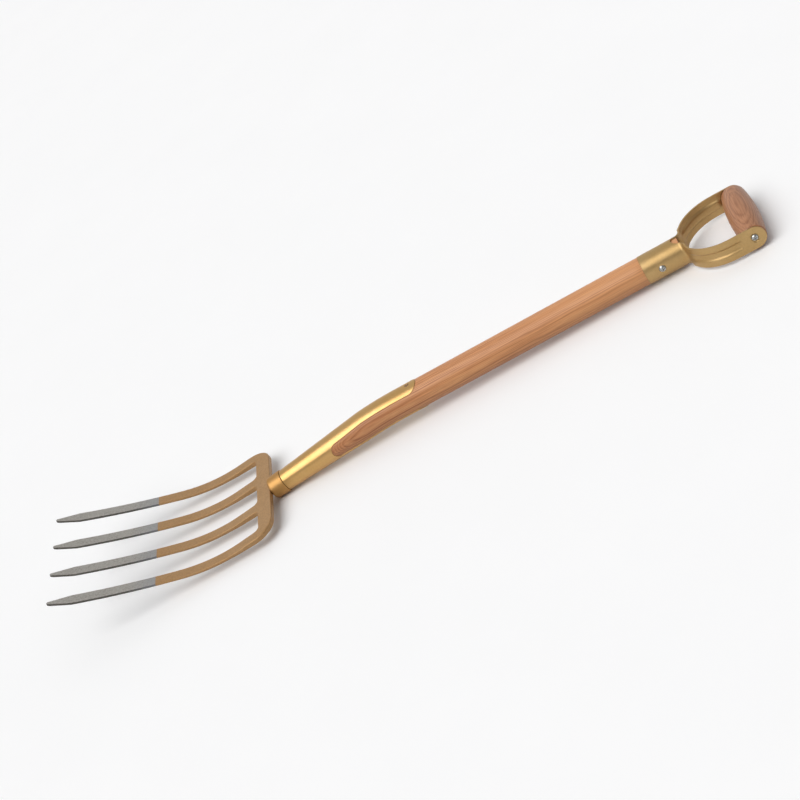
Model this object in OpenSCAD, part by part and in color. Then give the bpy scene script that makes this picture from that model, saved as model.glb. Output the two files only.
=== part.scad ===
// Digging fork: forged four-tine head, strapped socket, cranked ash shaft and a D handle.
// It lies face up on the ground, with +X from the tines to the handle and +Z up.

/* [Head] */
// Number of tines
tine_count = 4; // [3:1:5]
// Spacing of the tine centres where they leave the crossbar
tine_pitch = 59.5; // [48:0.5:70]
// Spacing of the tine points
tip_pitch = 62.5; // [48:0.5:74]
// Width of a tine's flat face
tine_w = 17; // [11:0.5:19]
// Length of a tine along its curve, from the end of the slot to the point
tine_len = 290; // [230:1:340]
// Thickness of the crossbar and of the tine roots
plate_t = 7; // [5.5:0.25:9]
// Thickness of a tine near its point
tip_t = 4; // [3:0.25:5]
// Height of a tine's upright sides past its root
side_h = 3.2; // [2:0.2:3.6]
// How much narrower a tine is below than above, on each side
undercut = 3.5; // [1:0.25:4.5]
// Small bevel along the upper edges of a tine
edge_bevel = 0.8; // [0.4:0.1:1.4]
// Depth of the crossbar, from its tread to the slot ends
crossbar_depth = 21.5; // [17:0.5:30]
// Corner radius at each end of the crossbar
corner_r = 28; // [12:1:28]
// Fillet radius in the slot corners
slot_fillet = 6.5; // [3:0.5:10]

/* [Tine curve] */
// Straight length of a tine before it bends
root_len = 28; // [20:1:45]
// Length of the main bend
bend_len = 88; // [60:1:120]
// Angle of the main bend
bend_angle = 22; // [12:0.5:30]
// Angle of the gentle sweep from the main bend to the point
sweep_angle = 7; // [2:0.5:14]
// Length of the spear point
point_len = 32; // [20:1:50]
// Width of the blunt end of the point
point_w = 5; // [3:0.5:8]

/* [Neck] */
// Angle between the neck and the shaft
crank_angle = 6.6; // [3:0.2:12]
// How far the axis of the neck lies below the middle of the crossbar
neck_drop = 3; // [0:0.25:4.5]
// Diameter of the collar
collar_d = 30.4; // [26:0.2:33]
// Length of the collar above the tread
collar_len = 21; // [14:0.5:30]
// Rounding of the collar's lower edge
collar_round = 4; // [1:0.5:6]
// Diameter of the head's round tang
tang_d = 12.5; // [10:0.5:14]
// Length of the tang above the tread
tang_len = 17; // [10:0.5:19]
// Length of the tang's root, which tapers into the crossbar
tang_root = 16; // [8:0.5:17]
// Length of the collar's spigot inside the socket
spigot_len = 24; // [12:1:40]
// Depth of the spot face that the collar stands in
seat_depth = 0.5; // [0.3:0.1:1]

/* [Socket] */
// Outer diameter of the socket where it meets the collar
mouth_d = 28.5; // [26:0.25:34]
// Outer diameter over the straps
strap_d = 38.5; // [38.25:0.25:42]
// Thickness of the socket's sheet
socket_wall = 1.6; // [1.2:0.1:2.4]
// Length of the straight cone above the collar
cone_len = 129; // [100:1:150]
// Length of the closed part above the collar
closed_len = 77; // [50:1:90]
// Length of the socket and its straps above the collar
socket_len = 216; // [200:1:260]
// Height of the side windows between the straps
window_h = 26; // [20:0.5:28]
// Height of the side windows at their round lower end
window_start_h = 20; // [14:0.5:22]
// Length of the bend between the neck and the shaft
crank_len = 54; // [40:1:80]
// Diameter of the strap rivet
rivet_d = 4; // [3:0.5:6]
// Distance of the rivet from the ends of the straps
rivet_setback = 12; // [8:0.5:25]

/* [Shaft] */
// Diameter of the shaft
shaft_d = 37; // [34:0.5:38]
// Length from the tread to the axis of the grip, along the shaft
reach = 692; // [560:1:900]

/* [Handle] */
// Outer diameter of the yoke's tube
tube_d = 38; // [37:0.25:42]
// Length of the yoke's tube
tube_len = 54.5; // [40:0.5:80]
// Thickness of the yoke's sheet
yoke_wall = 2.2; // [1.8:0.1:3]
// Radius of the notches between the arms at the end of the tube
notch_r = 9.5; // [7:0.5:13]
// Width of the handle over its ears
yoke_width = 120; // [100:1:150]
// Distance from the tube's end to the axis of the grip
grip_reach = 83; // [72:1:110]
// Radius of the ears, and half the width of the arms
ear_r = 14.4; // [11:0.2:15]
// Angle at which the arms leave the tube
arm_angle = 72; // [50:1:85]
// Radius of the tight bend where the arms leave the tube
root_bend_r = 5; // [3:0.5:8]
// Depth of the groove pressed along each arm
groove_depth = 2.2; // [0.5:0.1:2.5]
// Half the width of that groove
groove_half = 7; // [5:0.5:8]
// Largest diameter of the grip
grip_d = 38.5; // [32:0.5:44]
// Diameter of the grip at its ends
grip_end_d = 31; // [29:0.5:36]
// Diameter of the steel rod inside the grip
rod_d = 11; // [8:0.5:14]

/* [Screws] */
// Diameter of the screw heads
head_d = 9; // [7:0.25:10]
// Height of the screw heads
head_h = 2.6; // [1.8:0.1:3.2]
// Diameter of the screw shanks
screw_d = 4.8; // [3.5:0.1:6]
// Length of the screws under the head
screw_len = 16; // [10:1:24]
// Depth of the dimple that each head sits in
dimple_depth = 1; // [0.5:0.1:1.2]
// Distance of the tube's screws from its lower end
tube_screw_setback = 22; // [10:0.5:30]

/* [Clearances] */
// Gap where wood lies in steel
wood_fit = 0.2; // [0.1:0.05:0.4]
// Gap where steel lies in steel
steel_fit = 0.1; // [0.05:0.05:0.3]

/* [Hidden] */
$fn = 96;

gold = "#b8945c";
gold_bright = "#c9a24e";
ash = "#cf9a72";
ash_dark = "#b07a52";
steel = "#b9bcc0";

// Cuts run this far past the faces that they open
past = 1;
// The cone runs this far into the crank, and is this much larger there
lap = 0.5;
lap_step = 0.05;
// A lofted arm or tine starts this far inside the solid that it grows from
embed = 0.2;

// Neck frame: origin in the tread on the neck's axis, +X along the neck to the handle
neck_len = collar_len + cone_len;
crank_r = crank_len * 180 / (PI * crank_angle);
face_z = neck_drop + plate_t / 2;
mouth_r = mouth_d / 2;
strap_r = strap_d / 2;
shaft_r = shaft_d / 2;
head_half_w = tine_pitch * (tine_count - 1) / 2 + tine_w / 2;
stub_len = slot_fillet + 1;
seat_r = collar_d / 2 + 1.3;

// Shaft frame: origin where the crank ends, +X along the shaft to the handle
strap_end_x = socket_len - cone_len - crank_len;
grip_x = reach - neck_len - crank_len;
tube_end_x = grip_x - grip_reach;
tube_start_x = tube_end_x - tube_len;
tube_screw_x = tube_start_x + tube_screw_setback;
rivet_x = strap_end_x - rivet_setback;
tube_r = tube_d / 2;
tenon_r = tube_r - yoke_wall - wood_fit;
ear_y = yoke_width / 2;
grip_half = ear_y - yoke_wall - steel_fit;
rivet_sink = 0.4;
rivet_head_r = rivet_d * 0.7;

// Tine curve, on the flat upper face, as [x, z, slope] at the distance s from the slot end
bend_r = bend_len * 180 / (PI * bend_angle);
sweep_len = tine_len - root_len - bend_len;
sweep_r = sweep_len * 180 / (PI * sweep_angle);
function tine_slope(s) =
    s < root_len ? 0
    : s < root_len + bend_len ? bend_angle * (s - root_len) / bend_len
    : bend_angle + sweep_angle * (s - root_len - bend_len) / sweep_len;
function tine_run(a, s) =
    s < root_len ? s
    : a <= bend_angle ? root_len + bend_r * sin(a)
    : root_len + bend_r * sin(bend_angle) + sweep_r * (sin(a) - sin(bend_angle));
function tine_rise(a) =
    a <= bend_angle ? bend_r * (1 - cos(a))
    : bend_r * (1 - cos(bend_angle)) + sweep_r * (cos(bend_angle) - cos(a));
function tine_spine(s) =
    let (a = tine_slope(s))
    [-crossbar_depth - tine_run(a, s), face_z + tine_rise(a), a];

// Width and thickness of a tine at s; the point is rounded over half its own width
tip_round = point_w / 2;
function tine_width(s) =
    s < tine_len - point_len ? tine_w
    : s < tine_len - tip_round
        ? tine_w + (point_w - tine_w) * (s - tine_len + point_len) / (point_len - tip_round)
    : point_w * sqrt(max(0.06, 1 - pow((s - tine_len + tip_round) / tip_round, 2)));
function tine_thickness(s) =
    s < tine_len - tip_round ? plate_t + (tip_t - plate_t) * max(0, s) / tine_len : tip_t * 0.8;

// A tine's section is flat above and narrower below; k is the share of the undercut reached at s
undercut_run = 40;
function undercut_share(s) = min(1, max(0, (s - stub_len) / undercut_run));
function tine_section(w, t, k) =
    let (h = w / 2, b = min(edge_bevel, w * 0.1),
         cut = k * min(undercut, w * 0.3),
         side = 0.95 * t + k * (min(side_h, 0.8 * t) - 0.95 * t))
    [[h - b, 0], [h, -b], [h, -side], [h - cut, -t],
     [cut - h, -t], [-h, -side], [-h, -b], [b - h, 0]];

// One ring of a tine at s, centred on the line from its root to its point
function tine_ring(s, place, inset) =
    let (p = tine_spine(s),
         y = place * (tine_pitch + (tip_pitch - tine_pitch) * s / tine_len),
         section = tine_section(tine_width(s) - 2 * inset, tine_thickness(s) - 2 * inset, undercut_share(s)))
    [for (q = section)
        [p[0] + (q[1] - inset) * sin(p[2]), y + q[0], p[1] + (q[1] - inset) * cos(p[2])]];

tine_steps = concat(
    [for (s = [stub_len + 2 : (root_len - stub_len - 2) / 3 : root_len - 1]) s],
    [for (i = [0:9]) root_len + bend_len * i / 10],
    [for (i = [0:8]) root_len + bend_len + (sweep_len - point_len) * i / 9],
    [for (i = [0:3]) tine_len - point_len + (point_len - tip_round) * i / 3],
    [for (a = [35, 65, 90]) tine_len - tip_round + tip_round * sin(a)]);

// Row frame: the fork lies on its handle and on the lowest point of its head
function from_neck(p) =
    [-crank_r * sin(crank_angle) + (p[0] - neck_len) * cos(crank_angle) - p[1] * sin(crank_angle),
     -crank_r * (1 - cos(crank_angle)) + (p[0] - neck_len) * sin(crank_angle) + p[1] * cos(crank_angle)];
handle_low_r = max(grip_d / 2, ear_r);
// Head tilt that sets a round of radius r about p, and the handle, on the ground together
function lie_tilt(p, r) =
    let (dx = grip_x - p[0], dz = -p[1])
    asin((handle_low_r - r) / sqrt(dx * dx + dz * dz)) - atan2(dz, dx);
collar_low = from_neck([collar_round - seat_depth, collar_round - collar_d / 2]);
tine_lows = [for (s = tine_steps)
    let (p = tine_spine(s), t = tine_thickness(s))
    from_neck([p[0] - t * sin(p[2]), p[1] - t * cos(p[2])])];
rest_tilt = min(concat([lie_tilt(collar_low, collar_round)], [for (p = tine_lows) lie_tilt(p, 0)]));
function to_ground(p) =
    [p[0] * cos(rest_tilt) - p[1] * sin(rest_tilt), p[0] * sin(rest_tilt) + p[1] * cos(rest_tilt)];
tip_ring = tine_ring(tine_len, 0, 0);
tip_x = min([for (p = tip_ring) to_ground(from_neck([p[0], p[2]]))[0]]);
grip_ground = to_ground([grip_x, 0]);
centre_x = (tip_x + grip_ground[0] + handle_low_r) / 2;
ground_z = grip_ground[1] - handle_low_r;

// Places children drawn in the shaft frame
module on_shaft() {
    translate([-centre_x, 0, -ground_z])
        rotate([0, -rest_tilt, 0])
            children();
}

// Places children drawn in the neck frame
module on_neck() {
    on_shaft() from_crank() children();
}

// Turns the neck frame down from the shaft frame by the crank
module from_crank() {
    translate([-crank_r * sin(crank_angle), 0, -crank_r * (1 - cos(crank_angle))])
        rotate([0, -crank_angle, 0])
            translate([-neck_len, 0, 0])
                children();
}

// A round bar along +X from x0 to x1, tapering from r0 to r1
module bar(x0, x1, r0, r1) {
    translate([x0, 0, 0])
        rotate([0, 90, 0])
            cylinder(h = x1 - x0, r1 = r0, r2 = r1);
}

// Sweeps a profile, drawn about the origin, round the crank
module crank_sweep() {
    translate([0, 0, -crank_r])
        rotate([90, 0, 0])
            rotate([0, 0, 90])
                rotate_extrude(angle = crank_angle, $fn = 360)
                    translate([crank_r, 0])
                        children();
}

// Closed solid through rings of points; each end is closed by strips across its ring
module loft(rings) {
    n = len(rings[0]);
    last = (len(rings) - 1) * n;
    sides = [for (j = [0 : len(rings) - 2], i = [0 : n - 1])
        let (a = j * n + i, b = j * n + (i + 1) % n)
        each [[a, a + n, b], [b, a + n, b + n]]];
    caps = [for (i = [0 : n / 2 - 2])
        let (a = i, b = i + 1, c = n - 2 - i, d = n - 1 - i)
        each [[a, b, c], [a, c, d], [last + c, last + b, last + a], [last + d, last + c, last + a]]];
    polyhedron(points = [for (ring = rings) each ring], faces = concat(sides, caps));
}

// Corner piece that turns a square corner at the origin into a fillet of radius r
module corner_web(r) {
    difference() {
        square(r);
        translate([r, r]) circle(r);
    }
}

// Plan of the crossbar with the stub of each tine
module crossbar_plan() {
    depth = crossbar_depth + stub_len;
    gap = tine_pitch - tine_w;
    difference() {
        translate([-depth, -head_half_w])
            square([depth, 2 * head_half_w]);
        for (i = [0 : tine_count - 2])
            translate([-crossbar_depth, (i - (tine_count - 2) / 2) * tine_pitch])
                difference() {
                    translate([-stub_len - past, -gap / 2])
                        square([stub_len + past, gap]);
                    for (side = [-1, 1])
                        translate([0, side * gap / 2])
                            mirror([1, 0])
                                scale([1, -side])
                                    corner_web(slot_fillet);
                }
        for (side = [-1, 1])
            translate([0, side * head_half_w])
                mirror([1, 0])
                    scale([1, -side])
                        corner_web(corner_r);
    }
}

// Forged head: crossbar, tines and the tang that the collar slides on
module fork_head() {
    color(gold) on_neck() {
        difference() {
            translate([0, 0, face_z - plate_t])
                linear_extrude(plate_t)
                    crossbar_plan();
            bar(-seat_depth, past, seat_r, seat_r);
        }
        tang();
        for (i = [0 : tine_count - 1])
            tine(i - (tine_count - 1) / 2);
    }
}

// Round tang, with a root that tapers into the crossbar
module tang() {
    rotate([0, 90, 0])
        rotate_extrude()
            polygon([[0, -tang_root], [tang_d / 2, 0], [tang_d / 2, tang_len], [0, tang_len]]);
}

// One tine, lofted along its curve from inside its stub
module tine(place) {
    loft(concat([tine_ring(stub_len - 5, place, embed)],
                [for (s = tine_steps) tine_ring(s, place, 0)]));
}

// Collar on the tang, with a spigot that fills the mouth of the socket
module neck_collar() {
    r = collar_d / 2;
    spigot_gap = socket_wall + steel_fit;
    color(gold_bright) on_neck() difference() {
        translate([-seat_depth, 0, 0]) union() {
            bar(collar_round, collar_len + seat_depth, r, r);
            bar(0, collar_round, r - collar_round, r - collar_round);
            translate([collar_round, 0, 0])
                rotate([0, 90, 0])
                    rotate_extrude()
                        translate([r - collar_round, 0])
                            circle(collar_round);
            bar(collar_len, collar_len + seat_depth + spigot_len,
                mouth_r - spigot_gap, socket_r(collar_len + spigot_len) - spigot_gap);
        }
        bar(-seat_depth - past, tang_len + steel_fit, tang_d / 2 + steel_fit, tang_d / 2 + steel_fit);
    }
}

// Outer radius of the socket's cone at x along the neck
function socket_r(x) = mouth_r + (strap_r + lap_step - mouth_r) * (x - collar_len) / (cone_len + lap);

// Solid of the socket's form, taken in by inset, from x0 on the neck to x1 on the shaft
module socket_form(x0, x1, inset) {
    from_crank() bar(x0, neck_len + lap, socket_r(x0) - inset, socket_r(neck_len + lap) - inset);
    crank_sweep() circle(strap_r - inset);
    bar(0, x1, strap_r - inset, strap_r - inset);
}

// Side windows taken in by gap, cut straight through along Y and out past the strap ends
module window_cut(gap) {
    start = collar_len + closed_len + window_start_h / 2;
    start_h = window_start_h / 2 - gap;
    end = neck_len + 2 * lap;
    h = window_h / 2 - gap;
    end_h = h + lap_step;
    span = 2 * strap_r + 2 * past;
    from_crank()
        rotate([90, 0, 0])
            linear_extrude(span, center = true) {
                translate([start, 0]) circle(start_h);
                polygon([[start, -start_h], [neck_len, -end_h], [end, -end_h],
                         [end, end_h], [neck_len, end_h], [start, start_h]]);
            }
    crank_sweep() square([2 * h, span], center = true);
    translate([0, -span / 2, -h])
        cube([max(strap_end_x, 0) + strap_r, span, 2 * h]);
}

// What lies past the round ends of the straps, which are grown by gap
module past_strap_ends(gap) {
    half = sqrt(strap_r * strap_r - window_h * window_h / 4) + embed;
    span = 2 * strap_r + 2 * past;
    x = strap_end_x + gap - half;
    linear_extrude(span, center = true)
        difference() {
            translate([x, -span / 2]) square([2 * strap_r, span]);
            translate([x, 0]) circle(half);
        }
}

// Shell of the socket: closed cone below, front and back straps above
module socket_shell(gap) {
    end_x = max(strap_end_x, 0) + past;
    difference() {
        socket_form(collar_len, end_x, 0);
        socket_form(collar_len - past, end_x + past, socket_wall + gap);
        window_cut(gap);
        past_strap_ends(gap);
    }
}

// Solid that is cut for the rivet, or the rivet itself, with its heads sunk in the straps
module rivet_form(gap, sink) {
    half = strap_r - sink;
    translate([rivet_x, 0, 0]) {
        cylinder(h = 2 * half, r = rivet_d / 2 + gap, center = true);
        for (side = [-1, 1])
            scale([1, 1, side])
                translate([0, 0, half - socket_wall / 2])
                    cylinder(h = socket_wall / 2, r1 = rivet_d / 2 + gap, r2 = rivet_head_r + gap);
    }
}

// Strapped socket, pressed from sheet
module strapped_socket() {
    color(gold_bright) on_shaft() difference() {
        socket_shell(0);
        rivet_form(steel_fit, rivet_sink);
        translate([rivet_x, 0, 0])
            cylinder(h = 2 * strap_r, r = rivet_head_r + steel_fit, center = true);
    }
}

// Rivet through both straps and the shaft
module strap_rivet() {
    color(steel) on_shaft() rivet_form(0, rivet_sink);
}

// Ash shaft: it fills the socket, stands out in the windows and ends in the tube's tenon
module shaft() {
    foot = collar_len + spigot_len + wood_fit;
    proud = strap_r - shaft_r;
    color(ash) on_shaft() difference() {
        union() {
            socket_form(foot, tube_start_x, proud);
            bar(tube_start_x, tube_end_x - past, tenon_r, tenon_r);
        }
        shaft_recess(proud);
        rivet_form(wood_fit, rivet_sink);
        for (side = [-1, 1])
            tube_screw_place(side)
                translate([0, 0, -screw_len - wood_fit])
                    cylinder(h = screw_len, r = screw_d / 2 + steel_fit);
    }
}

// Where the socket's sheet is let into the shaft
module shaft_recess(proud) {
    difference() {
        socket_form(collar_len, max(strap_end_x, 0) + past, proud - past);
        socket_form(collar_len - past, max(strap_end_x, 0) + 2 * past, socket_wall + wood_fit);
        window_cut(wood_fit);
        past_strap_ends(wood_fit);
    }
}

// Arm path, as [distance past the tube's end, y, slope], on the arm's outer face
arm_y0 = tube_r - embed;
arm_x0 = -root_bend_r * 0.4;
arm_x1 = arm_x0 + root_bend_r * sin(arm_angle);
arm_y1 = arm_y0 + root_bend_r * (1 - cos(arm_angle));
arm_r = (ear_y - embed - arm_y1) / (1 - cos(arm_angle));
arm_x2 = arm_x1 + arm_r * sin(arm_angle);
ear_flat = ear_r - 1.5;
arm_end = grip_reach - ear_flat + 3;
root_steps = 5;
arc_steps = 14;
run_steps = 6;
arm_path = concat(
    [[arm_x0 - 5, arm_y0, 0]],
    [for (i = [0 : root_steps - 1])
        let (a = arm_angle * i / root_steps)
        [arm_x0 + root_bend_r * sin(a), arm_y0 + root_bend_r * (1 - cos(a)), a]],
    [for (i = [0 : arc_steps])
        let (a = arm_angle * (1 - i / arc_steps))
        [arm_x1 + arm_r * (sin(arm_angle) - sin(a)), arm_y1 + arm_r * (cos(a) - cos(arm_angle)), a]],
    [for (i = [1 : run_steps])
        [arm_x2 + (arm_end - arm_x2) * i / run_steps, ear_y - embed, 0]]);

// Section of an arm at the share k of its path: the tube's curve where it leaves the tube, nearly
// flat past the tight bend and flat at the ear, with a groove pressed along the middle
root_share = (root_steps + 1) / (len(arm_path) - 1);
function ease(k) = let (c = min(1, max(0, k))) c * c * (3 - 2 * c);
function arm_bow(z, k) =
    let (bend = (1 - 0.9 * ease(k / root_share)) * (1 - ease((k - 0.72) / 0.25)) / tube_r)
    bend < 0.0005 ? 0 : (1 - sqrt(1 - pow(bend * z, 2))) / bend;
groove_side = 4.5;
function arm_groove(z, k) =
    groove_depth * ease(k * 4 - 0.6) * (1 - ease((k - 0.84) / 0.1))
        * ease((groove_half - abs(z)) / groove_side);
function arm_sink(z, k) = arm_bow(z, k) + arm_groove(z, k);
arm_sheet = yoke_wall - 2 * embed;
arm_half = ear_r - embed;
groove_floor = groove_half - groove_side;
upper_zs = [groove_floor / 2, groove_floor, groove_half - groove_side / 2, groove_half,
            (groove_half + arm_half) / 2, arm_half];
arm_zs = concat([for (i = [len(upper_zs) - 1 : -1 : 0]) -upper_zs[i]], [0], upper_zs);
function arm_section(k) =
    concat([for (z = arm_zs) [arm_sink(z, k), z]],
           [for (i = [len(arm_zs) - 1 : -1 : 0]) [arm_sink(arm_zs[i], k) + arm_sheet, arm_zs[i]]]);
function arm_ring(p, k) =
    [for (q = arm_section(k)) [tube_end_x + p[0] + q[0] * sin(p[2]), p[1] - q[0] * cos(p[2]), q[1]]];

// One arm with its flat ear, on the +Y side
module arm() {
    last = len(arm_path) - 1;
    loft([for (i = [0 : last]) arm_ring(arm_path[i], i / last)]);
    translate([grip_x, ear_y, 0])
        rotate([90, 0, 0])
            linear_extrude(yoke_wall)
                union() {
                    circle(ear_r);
                    translate([-ear_flat, -ear_r]) square([ear_flat, 2 * ear_r]);
                }
}

// Draws children twice, as they are and mirrored to the other side of the handle
module both_sides() {
    for (side = [0, 1])
        mirror([0, side, 0])
            children();
}

// Dimple and hole for a screw, with its axis along +Z and the sheet's outer face at z = 0
module screw_cut() {
    r = head_d / 2 + steel_fit;
    translate([0, 0, -dimple_depth])
        cylinder(h = dimple_depth + past, r1 = r, r2 = r + dimple_depth + past);
    translate([0, 0, -yoke_wall - past])
        cylinder(h = yoke_wall + past, r = screw_d / 2 + steel_fit);
}

// Yoke: a tube whose split end is spread into two arms
module handle_yoke() {
    color(gold) on_shaft() difference() {
        union() {
            difference() {
                bar(tube_start_x, tube_end_x, tube_r, tube_r);
                translate([tube_end_x, 0, 0])
                    cylinder(h = 2 * tube_r + past, r = notch_r, center = true);
            }
            both_sides() arm();
        }
        bar(tube_start_x - past, tube_end_x + past, tube_r - yoke_wall, tube_r - yoke_wall);
        for (side = [-1, 1]) {
            tube_screw_place(side) screw_cut();
            ear_screw_place(side) screw_cut();
        }
    }
}

// Puts a screw's axis through the tube, with +Z pointing out on the given side
module tube_screw_place(side) {
    translate([tube_screw_x, side * tube_r, 0])
        rotate([-90 * side, 0, 0])
            children();
}

// Puts a screw's axis through an ear, with +Z pointing out on the given side
module ear_screw_place(side) {
    translate([grip_x, side * ear_y, 0])
        rotate([-90 * side, 0, 0])
            children();
}

// Pan-head screw with a cross recess, its head seated in the dimple
module pan_screw() {
    r = head_d / 2;
    dome_r = (r * r + head_h * head_h) / (2 * head_h);
    recess = head_d * 0.55;
    slit = head_d * 0.11;
    translate([0, 0, -dimple_depth]) {
        difference() {
            intersection() {
                translate([0, 0, head_h - dome_r]) sphere(dome_r);
                cylinder(h = head_h, r = r);
            }
            for (turn = [0, 90])
                rotate(turn)
                    translate([-recess / 2, -slit / 2, head_h * 0.45])
                        cube([recess, slit, head_h]);
        }
        translate([0, 0, -screw_len + dimple_depth])
            cylinder(h = screw_len - dimple_depth, r = screw_d / 2);
    }
}

module yoke_screw_left() {
    color(steel) on_shaft() tube_screw_place(1) pan_screw();
}

module yoke_screw_right() {
    color(steel) on_shaft() tube_screw_place(-1) pan_screw();
}

// Turned barrel grip, bored for its rod
module grip() {
    mid_r = grip_d / 2;
    end_r = grip_end_d / 2;
    bow = mid_r - end_r;
    barrel_r = (grip_half * grip_half + bow * bow) / (2 * bow);
    ease_r = 2;
    color(ash_dark) on_shaft() translate([grip_x, 0, 0]) rotate([90, 0, 0])
        rotate_extrude()
            difference() {
                intersection() {
                    translate([mid_r - barrel_r, 0]) circle(barrel_r, $fn = 360);
                    translate([rod_d / 2 + wood_fit, -grip_half]) square([mid_r, 2 * grip_half]);
                }
                for (side = [-1, 1])
                    translate([end_r, side * grip_half])
                        rotate(45)
                            square(ease_r, center = true);
            }
}

// Rod through the grip, tapped at each end for a screw
module grip_rod() {
    color(steel) on_shaft() translate([grip_x, 0, 0]) rotate([90, 0, 0]) difference() {
        cylinder(h = 2 * grip_half, r = rod_d / 2, center = true);
        for (side = [-1, 1])
            scale([1, 1, side])
                translate([0, 0, grip_half - screw_len])
                    cylinder(h = screw_len + past, r = screw_d / 2 + steel_fit);
    }
}

module grip_screw_left() {
    color(steel) on_shaft() ear_screw_place(1) pan_screw();
}

module grip_screw_right() {
    color(steel) on_shaft() ear_screw_place(-1) pan_screw();
}

fork_head();
neck_collar();
strapped_socket();
strap_rivet();
shaft();
handle_yoke();
yoke_screw_left();
yoke_screw_right();
grip();
grip_rod();
grip_screw_left();
grip_screw_right();
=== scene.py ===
"""Looks of the digging fork: smooth pieces over its solids, their materials, the studio and the camera."""

from math import acos, asin, atan2, cos, hypot, pi, radians, sin, sqrt

import bmesh
import bpy
from mathutils import Matrix, Vector


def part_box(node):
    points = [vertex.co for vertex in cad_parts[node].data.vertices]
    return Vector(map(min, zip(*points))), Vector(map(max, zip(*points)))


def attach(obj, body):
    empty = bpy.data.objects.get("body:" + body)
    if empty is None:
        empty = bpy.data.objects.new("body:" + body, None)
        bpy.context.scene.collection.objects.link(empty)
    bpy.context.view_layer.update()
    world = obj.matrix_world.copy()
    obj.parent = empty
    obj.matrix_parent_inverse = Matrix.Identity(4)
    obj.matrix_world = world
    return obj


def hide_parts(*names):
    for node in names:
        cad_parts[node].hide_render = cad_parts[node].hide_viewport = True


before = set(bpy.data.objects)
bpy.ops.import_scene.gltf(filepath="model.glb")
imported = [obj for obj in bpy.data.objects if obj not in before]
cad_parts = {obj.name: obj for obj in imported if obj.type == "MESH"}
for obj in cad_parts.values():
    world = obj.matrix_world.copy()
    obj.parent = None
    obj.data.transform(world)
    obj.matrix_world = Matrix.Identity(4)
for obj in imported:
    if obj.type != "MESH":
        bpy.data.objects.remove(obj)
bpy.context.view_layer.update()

# Sizes of the part, in millimetres, as its source names them
MM = 0.001
TINE_COUNT, TINE_PITCH, TIP_PITCH, TINE_W, TINE_LEN = 4, 59.5, 62.5, 17.0, 290.0
PLATE_T, TIP_T, SIDE_H, UNDERCUT, UNDERCUT_RUN = 7.0, 4.0, 3.2, 3.5, 40.0
CROSSBAR_DEPTH, CORNER_R, SLOT_FILLET = 21.5, 28.0, 6.5
ROOT_LEN, BEND_LEN, BEND_ANGLE, SWEEP_ANGLE = 28.0, 88.0, radians(22), radians(7)
POINT_LEN, POINT_W = 32.0, 5.0
CRANK_ANGLE, CRANK_LEN, NECK_DROP = radians(6.6), 54.0, 3.0
COLLAR_R, COLLAR_LEN, COLLAR_ROUND, SEAT_DEPTH = 15.2, 21.0, 4.0, 0.5
MOUTH_R, STRAP_R, SOCKET_WALL = 14.25, 19.25, 1.6
CONE_LEN, CLOSED_LEN, SOCKET_LEN = 129.0, 77.0, 216.0
WINDOW_H, WINDOW_START_H = 26.0, 20.0
SHAFT_R, REACH = 18.5, 692.0
TUBE_R, TUBE_LEN, YOKE_WALL, NOTCH_R = 19.0, 54.5, 2.2, 9.5
YOKE_WIDTH, GRIP_REACH, EAR_R = 120.0, 83.0, 14.4
ARM_ANGLE, ROOT_BEND_R = radians(72), 5.0
GROOVE_DEPTH, GROOVE_HALF, GROOVE_SIDE = 2.2, 7.0, 4.5
GRIP_R, GRIP_END_R = 19.25, 15.5
TUBE_SCREW_SETBACK, DIMPLE_DEPTH, DIMPLE_R = 22.0, 1.0, 5.2
RIVET_SETBACK, RIVET_HOLE_R = 12.0, 2.9

# Length of bare ground steel at the end of each tine
BARE_LEN = 142.0

# Places along the fork that follow from those sizes
NECK_LEN = COLLAR_LEN + CONE_LEN
CRANK_R = CRANK_LEN / CRANK_ANGLE
FACE_Z = NECK_DROP + PLATE_T / 2
GRIP_X = REACH - NECK_LEN - CRANK_LEN
TUBE_END_X = GRIP_X - GRIP_REACH
STRAP_END = COLLAR_LEN + SOCKET_LEN
STRAP_END_R = sqrt(STRAP_R ** 2 - WINDOW_H ** 2 / 4)
WINDOW_START = COLLAR_LEN + CLOSED_LEN


def neck_to_shaft(x, z):
    """A point of the neck's XZ plane in the shaft's."""
    c, s = cos(CRANK_ANGLE), sin(CRANK_ANGLE)
    dx = x - NECK_LEN
    return -CRANK_R * s + dx * c - z * s, -CRANK_R * (1 - c) + dx * s + z * c


def rest_tilt():
    """Tilt of the shaft when the fork lies on its collar and grip."""
    x, z = neck_to_shaft(COLLAR_ROUND - SEAT_DEPTH, COLLAR_ROUND - COLLAR_R)
    dx, dz = GRIP_X - x, -z
    return asin((GRIP_R - COLLAR_ROUND) / hypot(dx, dz)) - atan2(dz, dx)


TILT = rest_tilt()
grip_low, grip_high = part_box("grip")
GRIP_CENTRE = (grip_low + grip_high) / 2


def on_shaft(x, y, z):
    """A point of the shaft's frame, in millimetres, as a point of the row frame, in metres."""
    dx = x - GRIP_X
    c, s = cos(TILT), sin(TILT)
    return Vector((GRIP_CENTRE.x + (dx * c - z * s) * MM, y * MM, GRIP_CENTRE.z + (dx * s + z * c) * MM))


def on_neck(x, y, z):
    """A point of the neck's frame as a point of the row frame."""
    xs, zs = neck_to_shaft(x, z)
    return on_shaft(xs, y, zs)


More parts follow.
